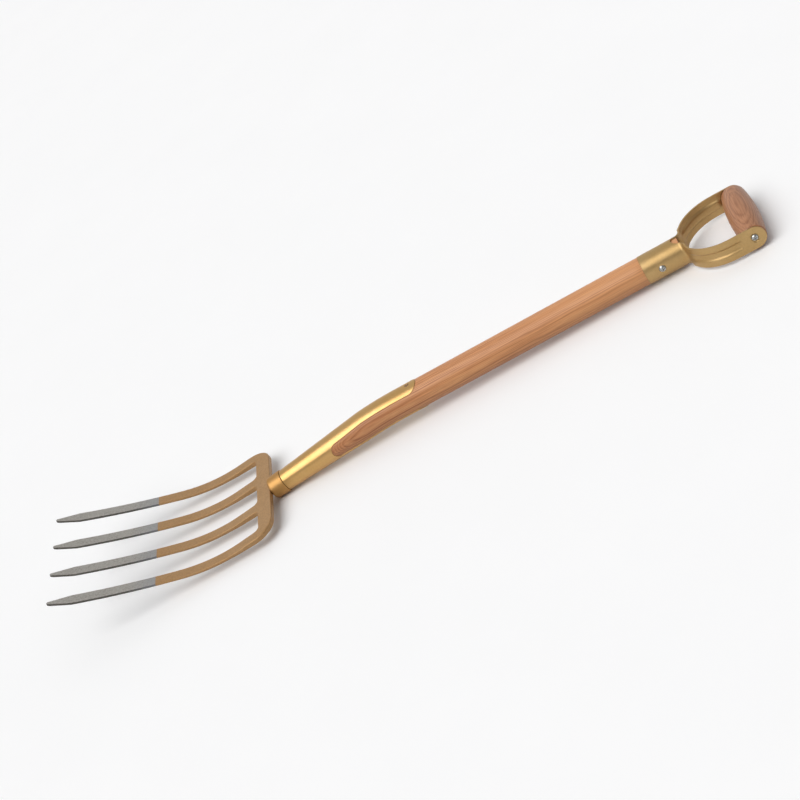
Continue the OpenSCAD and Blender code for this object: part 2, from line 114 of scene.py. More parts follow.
def on_axis(s, r, turn):
    """A point at radius r round the axis, s along it from the tread; turn 0 is up and grows to the left."""
    if s <= NECK_LEN:
        slope = CRANK_ANGLE
        x, z = neck_to_shaft(s, 0)
    elif s <= NECK_LEN + CRANK_LEN:
        slope = CRANK_ANGLE * (1 - (s - NECK_LEN) / CRANK_LEN)
        x, z = -CRANK_R * sin(slope), -CRANK_R * (1 - cos(slope))
    else:
        slope = 0
        x, z = s - NECK_LEN - CRANK_LEN, 0
    up = r * cos(turn)
    return on_shaft(x - up * sin(slope), r * sin(turn), z + up * cos(slope))


def ease(k):
    """Smooth step from 0 to 1."""
    k = min(1, max(0, k))
    return k * k * (3 - 2 * k)


def spread(a, b, n):
    """n + 1 even steps from a to b."""
    return [a + (b - a) * i / n for i in range(n + 1)]


def make_piece(name, verts, faces, slot, replaces, materials):
    """A smooth mesh piece that rides on the fork and stands for CAD nodes."""
    mesh = bpy.data.meshes.new(name)
    mesh.from_pydata(verts, [], faces)
    mesh.validate()
    mesh.polygons.foreach_set("use_smooth", [True] * len(mesh.polygons))
    piece = bpy.data.objects.new(name, mesh)
    bpy.context.scene.collection.objects.link(piece)
    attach(piece, "root")
    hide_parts(*replaces)
    for material in materials:
        mesh.materials.append(material)
    return piece


def set_grain(piece, coords):
    """Gives each point its place in the straight piece of wood: along the grain, and two ways across it."""
    layer = piece.data.attributes.new("grain", "FLOAT_VECTOR", "POINT")
    layer.data.foreach_set("vector", [v * MM for p in coords for v in p])


# Points closer than this are one, in metres; the yoke's two sides meet less closely
WELD_GAP, YOKE_WELD_GAP = 1e-5, 2e-5

# Pull of large faces on the shading of the points they share with small ones, of 100
FLAT_WEIGHT = 90


def weld_and_face_out(piece, gap=WELD_GAP):
    """Merges points that meet, and turns every face outward."""
    bm = bmesh.new()
    bm.from_mesh(piece.data)
    bmesh.ops.remove_doubles(bm, verts=bm.verts, dist=gap)
    bmesh.ops.recalc_face_normals(bm, faces=bm.faces)
    bm.to_mesh(piece.data)
    bm.free()


def even_normals(piece):
    """Keeps large flat faces flat beside their rounded edges."""
    mod = piece.modifiers.new("flat faces", "WEIGHTED_NORMAL")
    mod.weight = FLAT_WEIGHT
    mod.keep_sharp = True


def rings_to_mesh(rings, closed_ring=True, caps=True):
    """Points and faces of a surface through rings of equal length."""
    n = len(rings[0])
    verts = [p for ring in rings for p in ring]
    faces = []
    for j in range(len(rings) - 1):
        for i in range(n if closed_ring else n - 1):
            k = (i + 1) % n
            faces.append((j * n + i, j * n + k, (j + 1) * n + k, (j + 1) * n + i))
    if caps:
        faces.append(tuple(range(n - 1, -1, -1)))
        faces.append(tuple(range((len(rings) - 1) * n, len(rings) * n)))
    return verts, faces


def turned(profile, place, steps=128):
    """place(along, radius, turn) for each point of a surface turned from (along, radius) pairs."""
    return [[place(a, r, 2 * pi * i / steps) for i in range(steps)] for a, r in profile]


def lathe(profile, place):
    """Points and faces of a turned surface."""
    return rings_to_mesh(turned(profile, place))


# Head: one outline round the crossbar and all tines, given an edge profile and bent along the tine curve

BEND_R = BEND_LEN / BEND_ANGLE
SWEEP_LEN = TINE_LEN - ROOT_LEN - BEND_LEN
SWEEP_R = SWEEP_LEN / SWEEP_ANGLE
TIP_ROUND = POINT_W / 2
HEAD_HALF = TINE_PITCH * (TINE_COUNT - 1) / 2 + TINE_W / 2
STUB_LEN = SLOT_FILLET + 1
STRIP_START = SLOT_FILLET + 2
EDGE_R, CORNER_EDGE_R, CORNER_RUN = 1.1, 3.2, 1.6 * CORNER_R
TIP_BLUNT, TIP_THINNING = 0.06, 0.2
TREAD_STEPS, CORNER_STEPS, FILLET_STEPS = 12, 14, 8

# Points on the round of the edge, as shares of its radius inward and down
QUARTER_ROUND = ((1, 0), (0.62, 0.07), (0.29, 0.29), (0.07, 0.62))

# How far the sides stay inside the solid's, in millimetres
SIDE_INSET = 0.01

# Loops of faces, from the flat face outward, that are ground with it on the bare ends
FACE_LOOPS = 2


def head_point(s, y, n):
    """A point s along a tine from the slot end, n above the flat face."""
    if s < ROOT_LEN:
        a, run, rise = 0, s, 0
    elif s < ROOT_LEN + BEND_LEN:
        a = BEND_ANGLE * (s - ROOT_LEN) / BEND_LEN
        run, rise = ROOT_LEN + BEND_R * sin(a), BEND_R * (1 - cos(a))
    else:
        a = BEND_ANGLE + SWEEP_ANGLE * (s - ROOT_LEN - BEND_LEN) / SWEEP_LEN
        run = ROOT_LEN + BEND_R * sin(BEND_ANGLE) + SWEEP_R * (sin(a) - sin(BEND_ANGLE))
        rise = BEND_R * (1 - cos(BEND_ANGLE)) + SWEEP_R * (cos(BEND_ANGLE) - cos(a))
    return on_neck(-CROSSBAR_DEPTH - run + n * sin(a), y, FACE_Z + rise + n * cos(a))


def tine_half_width(s):
    """Half the width of a tine at s, with its spear point."""
    start, end = TINE_LEN - POINT_LEN, TINE_LEN - TIP_ROUND
    if s < start:
        return TINE_W / 2
    if s < end:
        return (TINE_W + (POINT_W - TINE_W) * (s - start) / (end - start)) / 2
    return POINT_W / 2 * sqrt(max(TIP_BLUNT, 1 - ((s - end) / TIP_ROUND) ** 2))


def tine_thickness(s):
    """Thickness of the head at s."""
    end = TINE_LEN - TIP_ROUND * 2
    thin = 1 - TIP_THINNING * ease((s - end) / (TINE_LEN - end))
    return (PLATE_T + (TIP_T - PLATE_T) * max(0, s) / TINE_LEN) * thin


# Rows along a tine, closest in the bend, at the bare end and round the tip
TINE_STEPS = (spread(STRIP_START, ROOT_LEN, 5)[:-1] + spread(ROOT_LEN, ROOT_LEN + BEND_LEN, 30)[:-1]
              + spread(ROOT_LEN + BEND_LEN, TINE_LEN - BARE_LEN, 12)[:-1]
              + spread(TINE_LEN - BARE_LEN, TINE_LEN - POINT_LEN, 30)[:-1]
              + spread(TINE_LEN - POINT_LEN, TINE_LEN - TIP_ROUND, 12)[:-1]
              + [TINE_LEN - TIP_ROUND + TIP_ROUND * sin(radians(a)) for a in (0, 20, 40, 60, 75, 90)])


def tine_y(place, s):
    """Middle of a tine at s."""
    return place * (TINE_PITCH + (TIP_PITCH - TINE_PITCH) * s / TINE_LEN)


def head_outline():
    """The head's plan as (s, y) points from the right end of the tread, and each tine's first and last."""
    tread_s = -CROSSBAR_DEPTH
    tread_end = HEAD_HALF - CORNER_R
    corner = spread(0, pi / 2, CORNER_STEPS)
    turn = spread(0, pi / 2, FILLET_STEPS)
    points = [(tread_s, y) for y in spread(-tread_end, tread_end, TREAD_STEPS)]
    points += [(tread_s + CORNER_R * (1 - cos(a)), HEAD_HALF - CORNER_R * (1 - sin(a))) for a in corner[1:]]
    strips = []
    for i in range(TINE_COUNT):
        place = (TINE_COUNT - 1) / 2 - i
        left = len(points)
        points += [(s, tine_y(place, s) + tine_half_width(s)) for s in TINE_STEPS]
        right = len(points)
        points += [(s, tine_y(place, s) - tine_half_width(s)) for s in reversed(TINE_STEPS)]
        strips.append((left, right + len(TINE_STEPS) - 1))
        if i < TINE_COUNT - 1:
            edge = tine_y(place, 0) - TINE_W / 2
            points += [(SLOT_FILLET * (1 - sin(a)), edge - SLOT_FILLET * (1 - cos(a))) for a in turn]
            far = tine_y(place - 1, 0) + TINE_W / 2
            points += [(SLOT_FILLET * (1 - cos(a)), far + SLOT_FILLET * (1 - sin(a))) for a in turn]
    points += [(tread_s + CORNER_R * (1 - sin(a)), -HEAD_HALF + CORNER_R * (1 - cos(a))) for a in corner[:-1]]
    return points, strips


def edge_round(s, y):
    """Radius of the edge round the flat face at a point of the outline, larger at the two outer corners."""
    across = ease((abs(y) - HEAD_HALF + CORNER_R) / CORNER_R)
    along = ease(1 - (s + CROSSBAR_DEPTH) / CORNER_RUN)
    return EDGE_R + (CORNER_EDGE_R - EDGE_R) * across * along


def edge_profile(s, y):
    """(inset, depth) pairs from the flat face round the edge to the underside, at a point of the outline."""
    t = tine_thickness(s)
    k = min(1, max(0, (s - STUB_LEN) / UNDERCUT_RUN))
    small = min(1, tine_half_width(max(s, 0)) / (TINE_W / 2))
    r = edge_round(s, y) * small
    cut = k * UNDERCUT * small
    side = 0.9 * t + k * (min(SIDE_H, 0.8 * t) - 0.9 * t)
    low = t - side
    face_edge = [(r * inward, -r * down) for inward, down in QUARTER_ROUND]
    flank = [(SIDE_INSET, -r), (SIDE_INSET, -side + 0.3 * small)]
    undercut = [(0.1 * small + cut * 0.04, -side - 0.08 * low), (0.25 * small + cut * 0.85, -side - 0.85 * low)]
    under_edge = [(0.5 * small + cut, -t + 0.02 * low), (1.1 * small + cut, -t)]
    return face_edge + flank + undercut + under_edge


def inward_normals(points):
    """Unit normals of a closed outline, pointing inward."""
    normals = []
    for i, p in enumerate(points):
        a, b = points[i - 1], points[(i + 1) % len(points)]
        before = Vector((p[0] - a[0], p[1] - a[1])).normalized()
        after = Vector((b[0] - p[0], b[1] - p[1])).normalized()
        mean = (before + after).normalized()
        normals.append((mean.y / max(0.5, mean.dot(after)), -mean.x / max(0.5, mean.dot(after))))
    return normals


def make_head(gold, ground, dark_side):
    """Forged head as one smooth skin; the tine ends are bare, ground on the face and dark on the sides."""
    points, strips = head_outline()
    normals = inward_normals(points)
    n = len(points)
    profiles = [edge_profile(s, y) for s, y in points]
    loops = len(profiles[0])
    rings = [[head_point(p[0] + q[0] * pr[k][0], p[1] + q[1] * pr[k][0], pr[k][1])
              for p, q, pr in zip(points, normals, profiles)] for k in range(loops)]
    verts, faces = rings_to_mesh(rings, caps=False)

    def finish(s, loop):
        if s < TINE_LEN - BARE_LEN - 0.01:
            return 0
        return 1 if loop < FACE_LOOPS else 2

    starts = [min(points[i][0], points[(i + 1) % n][0]) for i in range(n)]
    finishes = [finish(s, k) for k in range(loops - 1) for s in starts]
    for loop, flip in ((0, False), (loops - 1, True)):
        base = loop * n
        bar = list(range(strips[0][0] + 1))
        for i, (left, right) in enumerate(strips):
            for k in range(len(TINE_STEPS) - 1):
                face = (left + k, left + k + 1, right - k - 1, right - k)
                faces.append(tuple(base + v for v in (face if not flip else face[::-1])))
                finishes.append(finish(TINE_STEPS[k], loop))
            stop = strips[i + 1][0] + 1 if i < TINE_COUNT - 1 else n
            bar += list(range(right, stop))
        faces.append(tuple(base + v for v in (bar if not flip else bar[::-1])))
        finishes.append(0)
    head = make_piece("head", verts, faces, "head_lacquer", ["fork_head"], [gold, ground, dark_side])
    head.data.polygons.foreach_set("material_index", finishes)
    weld_and_face_out(head)
    even_normals(head)


# Collar, socket and shaft

SEAM_ROUND = 0.45
MOUTH_LIP, MOUTH_DROP, MOUTH_GAP = 0.4, 1.2, 0.05
EDGE_RUN = 1.5
RIVET_HOLE_DEPTH, RIVET_RIM = 0.8, 0.35
RIVET_ZONE = 4.0
TENON_ROOM, TENON_CHAMFER = 0.2, 0.6

# Edge of a strap beside the windows, as (share of its half angle, drop below its face)
STRAP_EDGE = [(1.0, SOCKET_WALL), (1.0, 0.55), (0.985, 0.16), (0.965, 0.0)]

# Places across a strap between its edges, closest in the middle where the rivet is
STRAP_COLUMNS = spread(-0.955, -0.24, 18)[:-1] + spread(-0.24, 0.24, 32) + spread(0.24, 0.955, 18)[1:]


def make_collar(material):
    """Turned collar with a large rounded lower edge and a small one at the seam."""
    profile = [(-SEAT_DEPTH + COLLAR_ROUND * (1 - cos(a)), COLLAR_R - COLLAR_ROUND * (1 - sin(a)))
               for a in spread(0, pi / 2, 12)]
    profile += [(COLLAR_LEN - SEAM_ROUND * back, COLLAR_R - SEAM_ROUND * drop)
                for back, drop in ((2, 0), (0.8, 0.15), (0.3, 0.6), (0.1, 2))]
    piece = make_piece("collar", *lathe(profile, on_axis), "socket_lacquer", ["neck_collar"], [material])
    weld_and_face_out(piece)
    even_normals(piece)


def socket_radius(s):
    """Outer radius of the socket at s."""
    return MOUTH_R + (STRAP_R - MOUTH_R) * min(1, (s - COLLAR_LEN) / CONE_LEN)


def window_half(s):
    """Half the height of the side windows at s: round at the lower end, then widening to the bend."""
    start_r, full = WINDOW_START_H / 2, WINDOW_H / 2
    from_round = s - WINDOW_START - start_r
    if from_round < 0:
        return sqrt(max(0, start_r ** 2 - from_round ** 2))
    return start_r + (full - start_r) * min(1, from_round / (NECK_LEN - WINDOW_START - start_r))


def strap_half_turn(s):
    """Half the angle that a strap covers at s: a quarter turn below the window, and none at its end."""
    r = socket_radius(s)
    turn = acos(min(1, window_half(s) / r))
    if s > STRAP_END - STRAP_END_R:
        across = sqrt(max(0, STRAP_END_R ** 2 - (s - STRAP_END + STRAP_END_R) ** 2))
        turn = min(turn, asin(min(1, across / r)))
    return turn


def rivet_hole(s, across):
    """How far the strap drops at a point, for the hole of the rivet."""
    distance = hypot(s - STRAP_END + RIVET_SETBACK, across)
    return RIVET_HOLE_DEPTH * (1 - ease((distance - RIVET_HOLE_R) / RIVET_RIM))


def socket_stations():
    """(s, drop) of each row along the socket; only the rows of the rolled mouth drop."""
    start_r = WINDOW_START_H / 2
    rivet_s = STRAP_END - RIVET_SETBACK
    mouth = [(COLLAR_LEN + MOUTH_GAP, MOUTH_DROP), (COLLAR_LEN + MOUTH_LIP * 0.4, MOUTH_LIP * 0.5),
             (COLLAR_LEN + MOUTH_LIP, MOUTH_LIP * 0.1)]
    steps = [COLLAR_LEN + 2 * MOUTH_LIP] + spread(COLLAR_LEN + 2, WINDOW_START - 1, 30)
    steps += [WINDOW_START + start_r * (1 - cos(a)) for a in spread(0, pi / 2, 24)]
    steps += spread(WINDOW_START + start_r + 2, rivet_s - RIVET_ZONE, 40)
    steps += spread(rivet_s - RIVET_ZONE, rivet_s + RIVET_ZONE, 32)[1:]
    tip = acos((STRAP_END_R - RIVET_SETBACK + RIVET_ZONE) / STRAP_END_R)
    steps += [STRAP_END - STRAP_END_R * (1 - cos(a)) for a in spread(tip, 0, 20)[1:]]
    return mouth + [(s, 0) for s in steps]


def strap_row(s, mouth_drop, middle):
    """Points of one row of a strap: across its outer face, and back across its inner one."""
    turn = strap_half_turn(s)
    r = socket_radius(s)
    open_edge = ease((s - WINDOW_START) / EDGE_RUN)
    outer = [(-v, drop * open_edge) for v, drop in STRAP_EDGE]
    outer += [(v, rivet_hole(s, v * turn * r)) for v in STRAP_COLUMNS]
    outer += [(v, drop * open_edge) for v, drop in reversed(STRAP_EDGE)]
    row = [(v, drop + mouth_drop) for v, drop in outer] + [(v, SOCKET_WALL) for v, _ in reversed(outer)]
    return [on_axis(s, r - drop, middle + v * turn) for v, drop in row]


def strap_mesh(middle):
    """Points and faces of one strap, open where it joins the other below the windows, closed at the mouth."""
    stations = socket_stations()
    rings = [strap_row(s, mouth_drop, middle) for s, mouth_drop in stations]
    n, half = len(rings[0]), len(rings[0]) // 2
    verts, faces = rings_to_mesh(rings, caps=False)
    joined = sum(s <= WINDOW_START for s, _ in stations) - 1
    side_walls = {j * n + k for j in range(joined) for k in (half - 1, n - 1)}
    faces = [f for i, f in enumerate(faces) if i not in side_walls]
    faces += [(k, n - 1 - k, n - 2 - k, k + 1) for k in range(half - 1)]
    return verts, faces


def make_socket(material):
    """Front and back straps that join below the windows, each with a rounded edge and a rivet hole."""
    verts, faces = [], []
    for middle in (0, pi):
        strap_verts, strap_faces = strap_mesh(middle)
        faces += [tuple(v + len(verts) for v in f) for f in strap_faces]
        verts += strap_verts
    piece = make_piece("socket", verts, faces, "socket_lacquer", ["strapped_socket"], [material])
    weld_and_face_out(piece)


def make_shaft(material):
    """Ash shaft from inside the socket to the tenon in the tube."""
    proud = STRAP_R - SHAFT_R
    tube_start = NECK_LEN + CRANK_LEN + TUBE_END_X - TUBE_LEN
    tenon_end = tube_start + TUBE_LEN - 1
    tenon_r = TUBE_R - YOKE_WALL - TENON_ROOM
    steps = spread(WINDOW_START - 8, NECK_LEN, 10) + spread(NECK_LEN, NECK_LEN + CRANK_LEN, 40)[1:]
    steps += spread(NECK_LEN + CRANK_LEN, tube_start + 0.5, 30)[1:]
    profile = [(s, socket_radius(s) - proud) for s in steps]
    profile += [(tube_start + 0.5, tenon_r), (tenon_end - TENON_CHAMFER, tenon_r),
                (tenon_end, tenon_r - TENON_CHAMFER)]
    piece = make_piece("ash_shaft", *lathe(profile, on_axis), "shaft_ash", ["shaft"], [material])
    rings = turned(profile, lambda s, r, turn: (s, r * sin(turn), r * cos(turn)))
    set_grain(piece, [p for ring in rings for p in ring])
    weld_and_face_out(piece)
    even_normals(piece)


# Handle

ARM_X0 = -ROOT_BEND_R * 0.4
ARM_X1 = ARM_X0 + ROOT_BEND_R * sin(ARM_ANGLE)
ARM_Y1 = TUBE_R + ROOT_BEND_R * (1 - cos(ARM_ANGLE))
ARM_R = (YOKE_WIDTH / 2 - ARM_Y1) / (1 - cos(ARM_ANGLE))
ARM_X2 = ARM_X1 + ARM_R * sin(ARM_ANGLE)
ARM_LEN = (ROOT_BEND_R + ARM_R) * ARM_ANGLE + GRIP_REACH - ARM_X2
ROOT_SHARE = ROOT_BEND_R * ARM_ANGLE / ARM_LEN
ARM_EDGE_R, ARM_EDGE_ANGLE = 0.5, radians(55)
GRIP_ROOM, GRIP_EDGE_R = 0.1, 1.6


def arm_rows():
    """Rows of one side of the yoke, as (x past the tube's end, y, slope, half width, share of the arm)."""
    rows = []
    for x in spread(-TUBE_LEN, -NOTCH_R, 44)[:-1]:
        rows.append((x, TUBE_R, 0, None, 0))
    for a in spread(0, asin(1 + ARM_X0 / NOTCH_R), 12):
        rows.append((-NOTCH_R * (1 - sin(a)), TUBE_R, 0, None, 0))
    arm = [(ARM_X0 + ROOT_BEND_R * sin(a), TUBE_R + ROOT_BEND_R * (1 - cos(a)), a)
           for a in spread(0, ARM_ANGLE, 12)[1:]]
    arm += [(ARM_X1 + ARM_R * (sin(ARM_ANGLE) - sin(a)), ARM_Y1 + ARM_R * (cos(a) - cos(ARM_ANGLE)), a)
            for a in spread(ARM_ANGLE, 0, 48)[1:]]
    arm += [(x, YOKE_WIDTH / 2, 0) for x in spread(ARM_X2, GRIP_REACH, 24)[1:]]
    done = 0
    last = (ARM_X0, TUBE_R)
    notch_half = sqrt(TUBE_R ** 2 - NOTCH_R ** 2 + ARM_X0 ** 2)
    for x, y, slope in arm:
        done += hypot(x - last[0], y - last[1])
        last = (x, y)
        k = done / ARM_LEN
        rows.append((x, y, slope, EAR_R + (notch_half - EAR_R) * (1 - ease(k * 7)), k))
    for a in spread(0, pi / 2, 14)[1:]:
        rows.append((GRIP_REACH + EAR_R * sin(a), YOKE_WIDTH / 2, 0, max(0.2, EAR_R * cos(a)), 1))
    return rows


def arm_sink(z, k):
    """How far an arm's outer face lies below its crown at the height z."""
    bend = (1 - 0.9 * ease(k / ROOT_SHARE)) * (1 - ease((k - 0.6) / 0.2)) / TUBE_R
    bow = 0 if bend < 0.0005 else (1 - sqrt(1 - (bend * z) ** 2)) / bend
    share = ease((k - ROOT_SHARE / 2) / 0.22) * (1 - ease((k - 0.80) / 0.06))
    return bow + GROOVE_DEPTH * share * ease((GROOVE_HALF - abs(z)) / GROOVE_SIDE)


def dimple(d):
    """Depth of a screw's dimple at the distance d from its axis."""
    return DIMPLE_DEPTH * (1 - ease(d - DIMPLE_R))


def yoke_side(side):
    """Grid of the outer face of one side of the yoke."""
    columns = spread(-1, 1, 56)
    screw_x = -TUBE_LEN + TUBE_SCREW_SETBACK
    rings = []
    for x, y, slope, half, k in arm_rows():
        row = []
        for v in columns:
            if half is None:
                open_y = sqrt(max(0, NOTCH_R ** 2 - x ** 2)) if x > -NOTCH_R else 0
                turn = v * acos(open_y / TUBE_R)
                z, depth = TUBE_R * sin(turn), TUBE_R * (1 - cos(turn))
                depth = max(depth, dimple(hypot(x - screw_x, z)))
            else:
                z = v * half
                depth = max(arm_sink(z, k), dimple(hypot(x - GRIP_REACH, z)) if slope == 0 else 0)
            row.append(on_shaft(TUBE_END_X + x + depth * sin(slope), side * (y - depth * cos(slope)), z))
        rings.append(row)
    return rings_to_mesh(rings, closed_ring=False, caps=False)


def make_yoke(material):
    """Yoke pressed from one sheet: a split tube that spreads into two grooved arms with flat ears."""
    verts, faces = yoke_side(1)
    right_verts, right_faces = yoke_side(-1)
    faces += [tuple(i + len(verts) for i in reversed(f)) for f in right_faces]
    piece = make_piece("yoke", verts + right_verts, faces, "yoke_lacquer", ["handle_yoke"], [material])
    weld_and_face_out(piece, YOKE_WELD_GAP)
    sheet = piece.modifiers.new("sheet", "SOLIDIFY")
    sheet.thickness = YOKE_WALL * MM
    sheet.offset = -1
    round_edge = piece.modifiers.new("edge", "BEVEL")
    round_edge.width = ARM_EDGE_R * MM
    round_edge.segments = 2
    round_edge.limit_method = "ANGLE"
    round_edge.angle_limit = ARM_EDGE_ANGLE
    even_normals(piece)


def make_grip(material):
    """Turned barrel between the ears."""
    half = YOKE_WIDTH / 2 - YOKE_WALL - GRIP_ROOM
    bow = GRIP_R - GRIP_END_R
    barrel_r = (half * half + bow * bow) / (2 * bow)
    ys = spread(-half + GRIP_EDGE_R, half - GRIP_EDGE_R, 48)
    body = [(y, GRIP_R - barrel_r + sqrt(barrel_r ** 2 - y * y)) for y in ys]
    rim = body[-1][1]
    end = [(half - GRIP_EDGE_R * (1 - sin(a)), rim - GRIP_EDGE_R * (1 - cos(a)))
           for a in spread(0, pi / 2, 6)[1:]]
    profile = [(-y, r) for y, r in reversed(end)] + body + end

    def place(y, r, turn):
        return on_shaft(GRIP_X + r * cos(turn), y, r * sin(turn))

    piece = make_piece("barrel_grip", *lathe(profile, place), "grip_ash", ["grip"], [material])
    rings = turned(profile, lambda y, r, turn: (y, -r * sin(turn), r * cos(turn)))
    set_grain(piece, [p for ring in rings for p in ring])
    weld_and_face_out(piece)
    even_normals(piece)


# Materials

class Nodes:
    """A node tree with short calls to add and join nodes."""

    def __init__(self, tree):
        self.tree = tree

    def add(self, kind, inputs=None, **settings):
        """A new node with its settings, and its inputs set or joined."""
        node = self.tree.nodes.new(kind)
        for key, value in settings.items():
            setattr(node, key, value)
        for key, value in (inputs or {}).items():
            self.join(value, node.inputs[key])
        return node

    def join(self, value, socket):
        """Links a node's output to a socket, or sets the socket's own value."""
        if isinstance(value, bpy.types.NodeSocket):
            self.tree.links.new(value, socket)
        else:
            socket.default_value = value

    def coords(self, scale=(1, 1, 1)):
        """Object coordinates, scaled."""
        source = self.add("ShaderNodeTexCoord").outputs["Object"]
        return self.add("ShaderNodeMapping", {"Vector": source, "Scale": scale}).outputs[0]

    def noise(self, vector, scale, detail=4.0, rough=0.55):
        """Noise between about 0.25 and 0.75, with its scale in waves per metre."""
        return self.add("ShaderNodeTexNoise", {"Vector": vector, "Scale": scale, "Detail": detail,
                                               "Roughness": rough}).outputs["Fac"]

    def ramp(self, value, stops):
        """Colours along a value, as (position, colour) stops."""
        node = self.add("ShaderNodeValToRGB", {"Fac": value})
        band = node.color_ramp
        while len(band.elements) < len(stops):
            band.elements.new(0.5)
        for element, (position, colour) in zip(band.elements, stops):
            element.position = position
            element.color = (*colour, 1) if isinstance(colour, tuple) else (colour, colour, colour, 1)
        return node.outputs["Color"]

    def math(self, operation, a, b=0.0, c=0.0):
        """One arithmetic step."""
        return self.add("ShaderNodeMath", {0: a, 1: b, 2: c}, operation=operation).outputs[0]

    def mix(self, factor, a, b):
        """Two colours mixed by a factor."""
        node = self.add("ShaderNodeMix", data_type="RGBA")
        self.join(factor, node.inputs["Factor"])
        self.join(a if isinstance(a, bpy.types.NodeSocket) else (*a, 1), node.inputs["A"])
        self.join(b if isinstance(b, bpy.types.NodeSocket) else (*b, 1), node.inputs["B"])
        return node.outputs["Result"]


class Shader(Nodes):
    """A material with its surface, and the patterns that several materials share."""

    def __init__(self, name):
        self.material = bpy.data.materials.new(name)
        self.material.use_nodes = True
        super().__init__(self.material.node_tree)
        self.surface = self.tree.nodes["Principled BSDF"]

    def bump(self, height, strength, distance):
        """Joins a height to the surface's normal."""
        node = self.add("ShaderNodeBump", {"Height": height, "Strength": strength, "Distance": distance})
        self.join(node.outputs[0], self.surface.inputs["Normal"])

    # Painted shade: colour darkened where other faces lie close, where shadow falls
    def seam(self, reach, share):
        """Share of painted shade, high where another face lies within reach."""
        open_share = self.add("ShaderNodeAmbientOcclusion", {"Distance": reach}, samples=8).outputs["AO"]
        return self.ramp(open_share, [(0.35, share), (0.85, 0.0)])

    def worn_and_highlit_edges(self, here):
        """Share of wear and painted highlight, high in patches along sharp edges."""
        sharp = self.ramp(self.add("ShaderNodeNewGeometry").outputs["Pointiness"], [(0.53, 0.0), (0.62, 1.0)])
        return self.math("MULTIPLY", sharp, self.ramp(self.noise(here, 160, 3), [(0.4, 0.0), (0.7, 0.5)]))

    def seen(self):
        """1 for what the camera, the metal and the glass show, and 0 for light thrown back."""
        rays = self.add("ShaderNodeLightPath").outputs
        shown = self.math("ADD", rays["Is Camera Ray"], rays["Is Glossy Ray"])
        return self.math("ADD", shown, rays["Is Transmission Ray"])

    def set(self, **values):
        """Sets or joins the surface's own inputs, with _ for a space in a name."""
        for key, value in values.items():
            self.join(value, self.surface.inputs[key.replace("_", " ")])
        return self.material


def srgb(r, g, b):
    """A colour of 0 to 255 on screen as linear light."""
    def one(v):
        v /= 255
        return v / 12.92 if v <= 0.04045 else ((v + 0.055) / 1.055) ** 2.4
    return one(r), one(g), one(b)


# Brown of the random mottle and specks, and of the painted shade in seams and recesses
DIRT_AND_SHADE_BROWN = srgb(84, 62, 38)
STEEL_BLUE = srgb(146, 150, 158)
BLUE_REACH, BLUE_SHARE = 0.035, 0.45
BUMP_HEIGHT, PLATED_BUMP_HEIGHT = 0.0003, 0.0002


def lacquer(name, plain, pale, metallic, rough, grain):
    """Sprayed gold lacquer: faint cloud, flake and specks, orange peel, edges lightened as wear and painted
    highlight, and painted shade in the seams.
    """
    m = Shader(name)
    here = m.coords()
    cloud = m.noise(here, 24, 3)
    flake = m.noise(here, 1500, 2)
    mottle = m.noise(here, 420, 3)
    specks = m.noise(here, 560, 1)
    gloss = m.noise(here, 110, 4)
    peel = m.noise(here, 1100, 3)
    colour = m.mix(m.ramp(cloud, [(0.35, 0.0), (0.7, 0.35)]), plain, pale)
    colour = m.mix(m.ramp(flake, [(0.45, 0.0), (0.75, 3 * grain)]), colour, pale)
    colour = m.mix(m.ramp(mottle, [(0.4, grain), (0.56, 0.0)]), colour, DIRT_AND_SHADE_BROWN)
    # Edges lightened in patches, partly as wear and partly as painted highlight
    colour = m.mix(m.worn_and_highlit_edges(here), colour, pale)
    colour = m.mix(m.ramp(specks, [(0.76, 0.0), (0.80, 0.3)]), colour, DIRT_AND_SHADE_BROWN)
    # Painted shade where other faces lie close, such as seams and screw dimples
    colour = m.mix(m.seam(reach=0.0016, share=0.75), colour, DIRT_AND_SHADE_BROWN)
    roughness = m.ramp(gloss, [(0.3, rough - 0.03), (0.7, rough + 0.04)])
    m.bump(peel, 0.05, BUMP_HEIGHT)
    return m.set(Base_Color=colour, Metallic=metallic, Roughness=roughness)


def bare_steel(name, pale, mid, dark, metallic):
    """Bare steel: grinding lines along the tine over a mottled grey, bluish beside the lacquer."""
    m = Shader(name)
    here = m.coords()
    lines = m.noise(m.coords(scale=(0.15, 1, 1)), 1300, 3)
    mottle = m.noise(here, 480, 4)
    patches = m.noise(here, 40, 2)
    colour = m.ramp(mottle, [(0.3, dark), (0.44, mid), (0.66, pale)])
    colour = m.mix(m.ramp(lines, [(0.45, 0.0), (0.75, 0.4)]), colour, dark)
    colour = m.mix(m.ramp(patches, [(0.45, 0.0), (0.75, 0.3)]), colour, pale)
    along = m.add("ShaderNodeSeparateXYZ", {0: here}).outputs["X"]
    edge_x = head_point(TINE_LEN - BARE_LEN, 0, 0).x
    near_edge = m.add("ShaderNodeMapRange", {"Value": along, "From Min": edge_x - BLUE_REACH,
                                             "From Max": edge_x, "To Max": BLUE_SHARE}).outputs[0]
    colour = m.mix(near_edge, colour, STEEL_BLUE)
    # Edges lightened in patches, partly as wear and partly as painted highlight
    colour = m.mix(m.worn_and_highlit_edges(here), colour, pale)
    roughness = m.ramp(lines, [(0.3, 0.45), (0.7, 0.62)])
    m.bump(m.math("ADD", lines, mottle), 0.15, BUMP_HEIGHT)
    return m.set(Base_Color=colour, Metallic=metallic, Roughness=roughness)


